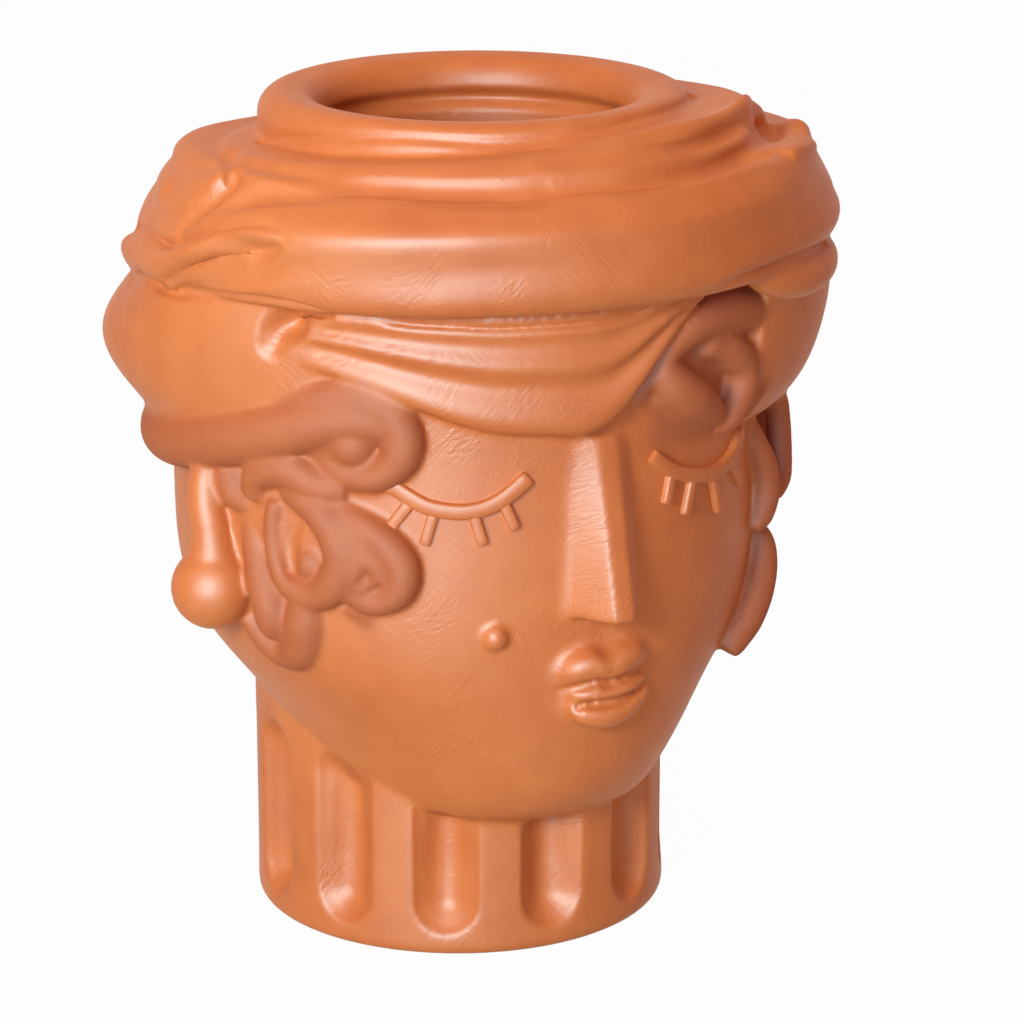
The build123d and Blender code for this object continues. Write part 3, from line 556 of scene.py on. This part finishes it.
# The faces that take the darker tint: the hair coils, partly their own tone and partly painted shade, and the
# nape roll and the head's skin in the hollows between the locks on the vase's own left, where it is painted
# shade. The tint is then blurred across their edges.
hair_and_shaded_names = COILED - {"upper_lip", "lower_lip", "earring_right", "ear_right"} | {"nape_roll"}
shade_between_locks = ((centres > LOCKS_LOW) & (centres < LOCKS_HIGH)).all(axis=1)
shade_between_locks &= owner == names.index("head_shell")
hair_and_shade_share = (np.isin(owner, [names.index(name) for name in hair_and_shaded_names]) | shade_between_locks).astype(float)
for _ in range(TINT_ROUNDS):
    around = np.bincount(quads.ravel(), np.repeat(hair_and_shade_share, 4), len(at))
    around = around / np.bincount(quads.ravel(), minlength=len(at))
    hair_and_shade_share = around[quads].mean(axis=1)
reach = np.hypot(centres[:, 0], centres[:, 1])
in_throat = (np.hypot(centres[:, 0], centres[:, 1] - THROAT_Y) < THROAT_WALL) & (centres[:, 2] > THROAT_FROM)
kept = (centres[:, 2] > 1.5) | (reach > WELL_RADIUS)
kept &= ~(in_throat & (centres[:, 2] < THROAT_TO)) & (owner != names.index("base_floor"))


def backed_piece(name, faces, backing):
    used, faces = np.unique(faces, return_inverse=True)
    faces = faces.reshape(-1, 4)
    face_side, normals = at[used], facing[used]
    count = len(used)
    edges = np.stack([faces, np.roll(faces, -1, axis=1)], axis=2).reshape(-1, 2)
    there, back = edges @ (count, 1), edges @ (1, count)
    rim = edges[~np.isin(there, back)]
    walls = np.stack([rim[:, 1], rim[:, 0], rim[:, 0] + count, rim[:, 1] + count], axis=1)
    mesh = bpy.data.meshes.new(name + "_clay")
    mesh.from_pydata((np.vstack([face_side, backing(face_side, normals)]) * MM).tolist(), [],
                     np.vstack([faces, faces[:, ::-1] + count, walls]).tolist())
    mesh.shade_smooth()
    mesh.normals_split_custom_set_from_vertices(np.vstack([normals, -normals]).tolist())
    mesh.materials.append(clay)
    # Each piece keeps the blurred share of the darker tint, part hair tone and part painted shade, as its
    # "hair" attribute.
    mesh.attributes.new("hair", "FLOAT", "POINT").data.foreach_set("value", np.tile(around[used], 2))
    piece = bpy.data.objects.new(name + "_clay", mesh)
    bpy.context.collection.objects.link(piece)
    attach(piece, "root")
    if name in frame["nodes"]:
        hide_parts(name)


def thin(face_side, normals):
    return face_side - normals * BACKING


def neck_wall(face_side, normals):
    flat = np.hypot(face_side[:, 0], face_side[:, 1])
    inner = WELL_RADIUS + (flat - WELL_RADIUS) * 0.04
    return np.column_stack([face_side[:, :2] * (inner / flat)[:, None],
                            np.maximum(face_side[:, 2], FOOT_BACK)])


for k, name in enumerate(names):
    if name == "head_shell":
        backed_piece("head_face", quads[kept & (owner == k) & (centres[:, 1] < 0)], thin)
        backed_piece("head_nape", quads[kept & (owner == k) & (centres[:, 1] >= 0)], thin)
    elif name != "base_floor":
        backed_piece(name, quads[kept & (owner == k)], neck_wall if name == "neck" else thin)
bpy.data.objects.remove(body)
for name in ("base_floor", "head_shell"):
    node = frame["nodes"][name]
    node.data.materials.clear()
    node.data.materials.append(clay)

# The closed eyes: lids and lashes cut from a rolled strip with soft edges, laid on the face.
BAR = ((-1.00, -1.20), (-1.00, 0.55), (-0.90, 0.80), (-0.68, 0.95), (0, 1.00), (0.68, 0.95), (0.90, 0.80),
       (1.00, 0.55), (1.00, -1.20))


def bar(name, places, width, rise):
    """A soft-edged strip along a route of turns, heights and reaches."""
    along, _ = smooth_line([place + (0,) for place in places])
    run = np.gradient(along, axis=0)
    run /= np.linalg.norm(run, axis=1)[:, None]
    out = along * (1, 1, 0)
    out /= np.linalg.norm(out, axis=1)[:, None]
    side = np.cross(out, run)
    rings = []
    ends = [(0, -0.9, 0.86), (0, -0.3, 0.97)] + [(i, 0, 1) for i in range(1, len(along) - 1)]
    ends += [(len(along) - 1, 0.3, 0.97), (len(along) - 1, 0.9, 0.86)]
    for i, past, swell in ends:
        rings.append([along[i] + run[i] * past + side[i] * u * width / 2 * swell + out[i] * w * rise * swell
                      for u, w in BAR])
    count = len(BAR)
    corners = [tuple(corner * MM) for ring in rings for corner in ring]
    faces = [tuple(range(count)), tuple(range(len(corners) - 1, len(corners) - count - 1, -1))]
    for i in range(len(rings) - 1):
        for k in range(count):
            a, b = i * count + k, i * count + (k + 1) % count
            faces.append((b, a, a + count, b + count))
    mesh = bpy.data.meshes.new(name + "_bar")
    mesh.from_pydata(corners, [], faces)
    piece = bpy.data.objects.new(name + "_bar", mesh)
    bpy.context.collection.objects.link(piece)
    active(piece)
    bpy.ops.object.mode_set(mode="EDIT")
    bpy.ops.mesh.select_all(action="SELECT")
    bpy.ops.mesh.normals_make_consistent(inside=False)
    bpy.ops.object.mode_set(mode="OBJECT")
    bpy.ops.object.shade_smooth_by_angle(angle=radians(50))
    piece.data.materials.append(clay)
    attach(piece, "root")
    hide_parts(name)


bar("eyelid_right", [(-41.5, 182.5, 104.8), (-38.5, 179, 104.8), (-35, 175.5, 104.8), (-31.5, 174, 104.6),
                     (-28, 173.6, 104.5), (-24.5, 174.6, 104.2), (-21.5, 177, 104), (-18.8, 180.5, 103.8),
                     (-16.5, 184, 103.6)], 5.4, 2.4)
bar("right_lash_1", [(-38.2, 176.0, 104.6), (-41.5, 168.0, 104.8)], 4.2, 2.0)
bar("right_lash_2", [(-33.7, 172.6, 104.6), (-35.2, 163.0, 104.8)], 4.0, 2.0)
bar("right_lash_3", [(-26.3, 172.2, 104.4), (-24.8, 163.0, 104.6)], 4.0, 2.0)
bar("right_lash_4", [(-20.8, 176.0, 104.0), (-18.9, 168.0, 104.3)], 4.0, 2.0)
bar("eyelid_left", [(10.2, 185.5, 104.0), (12.5, 182.0, 104.2), (15, 179.2, 104.4), (18.5, 176.6, 104.6),
                    (22.5, 174.8, 104.7), (27, 173.4, 104.8), (31.5, 174.2, 104.8), (35.5, 177.0, 104.8),
                    (39.5, 183.0, 104.8)], 5.2, 2.4)
bar("left_lash_1", [(14.6, 177.6, 104.3), (13.4, 169.0, 104.5)], 3.8, 2.0)
bar("left_lash_2", [(20.5, 173.6, 104.6), (18.8, 163.0, 104.6)], 4.0, 2.0)
bar("left_lash_3", [(27.5, 171.6, 104.8), (29.5, 159.5, 104.8)], 4.0, 2.0)
bar("left_lash_4", [(34.5, 174.0, 104.8), (39.5, 165.0, 104.8)], 4.0, 2.0)

# The stand: a plain pale floor, which the camera and glossy rays see as near white, with the vase's faint
# shadow on it.
bpy.ops.mesh.primitive_plane_add(size=6.0, location=(0, 0, 0))
floor = bpy.context.object
floor.name = "floor"
floor_finish = bpy.data.materials.new("pale_floor")
floor_finish.use_nodes = True
floor_nodes = floor_finish.node_tree.nodes
floor_links = floor_finish.node_tree.links
floor_nodes["Principled BSDF"].inputs["Base Color"].default_value = (0.42, 0.38, 0.36, 1)
floor_nodes["Principled BSDF"].inputs["Roughness"].default_value = 0.9
VEIL = 0.975
paper = floor_nodes.new("ShaderNodeEmission")
paper.inputs["Strength"].default_value = 1.0
veil = floor_nodes.new("ShaderNodeMixShader")
seen = floor_nodes.new("ShaderNodeLightPath")
part_seen = floor_nodes.new("ShaderNodeMath")
part_seen.operation = "MULTIPLY"
part_seen.inputs[1].default_value = VEIL
either_seen = floor_nodes.new("ShaderNodeMath")
either_seen.operation = "MAXIMUM"
floor_links.new(seen.outputs["Is Camera Ray"], either_seen.inputs[0])
floor_links.new(seen.outputs["Is Glossy Ray"], either_seen.inputs[1])
floor_links.new(either_seen.outputs["Value"], part_seen.inputs[0])
floor_links.new(part_seen.outputs["Value"], veil.inputs["Fac"])
floor_links.new(floor_nodes["Principled BSDF"].outputs["BSDF"], veil.inputs[1])
floor_links.new(paper.outputs["Emission"], veil.inputs[2])
floor_links.new(veil.outputs["Shader"], floor_nodes["Material Output"].inputs["Surface"])
floor.data.materials.append(floor_finish)

# The studio: a white backdrop all round with weak warm light from it, a softbox on the vase's own right,
# another overhead, and a broad one that shows only as the satin highlight on the clay.
world = bpy.data.worlds.new("studio")
bpy.context.scene.world = world
world.use_nodes = True
air = world.node_tree.nodes
air_links = world.node_tree.links
air["Background"].inputs["Color"].default_value = (1.0, 0.42, 0.20, 1)
air["Background"].inputs["Strength"].default_value = 0.46
backdrop = air.new("ShaderNodeBackground")
backdrop.inputs["Color"].default_value = (1, 1, 1, 1)
backdrop.inputs["Strength"].default_value = 1.0
either = air.new("ShaderNodeMixShader")
path = air.new("ShaderNodeLightPath")
seen_ray = air.new("ShaderNodeMath")
seen_ray.operation = "MAXIMUM"
air_links.new(path.outputs["Is Camera Ray"], seen_ray.inputs[0])
air_links.new(path.outputs["Is Glossy Ray"], seen_ray.inputs[1])
air_links.new(seen_ray.outputs["Value"], either.inputs["Fac"])
air_links.new(air["Background"].outputs["Background"], either.inputs[1])
air_links.new(backdrop.outputs["Background"], either.inputs[2])
air_links.new(either.outputs["Shader"], air["World Output"].inputs["Surface"])


def softbox(name, turn, height, reach, size, energy, colour):
    bpy.ops.object.light_add(type="AREA", location=spot(turn, height, reach))
    lamp = bpy.context.object
    lamp.name = name
    lamp.data.size = size
    lamp.data.energy = energy
    lamp.data.color = colour
    lamp.rotation_euler = (spot(0, 160, 0) - lamp.location).to_track_quat("-Z", "Y").to_euler()
    return lamp


softbox("key", -54, 640, 1350, 0.35, 13.4, (1.0, 0.95, 0.86))
softbox("overhead", -60, 1700, 200, 1.2, 6.5, (1.0, 0.93, 0.84))
sheen = softbox("sheen", -42, 480, 1250, 0.90, 165.0, (0.55, 0.88, 0.95))
sheen.visible_diffuse = False

bpy.context.scene.view_settings.view_transform = "Standard"
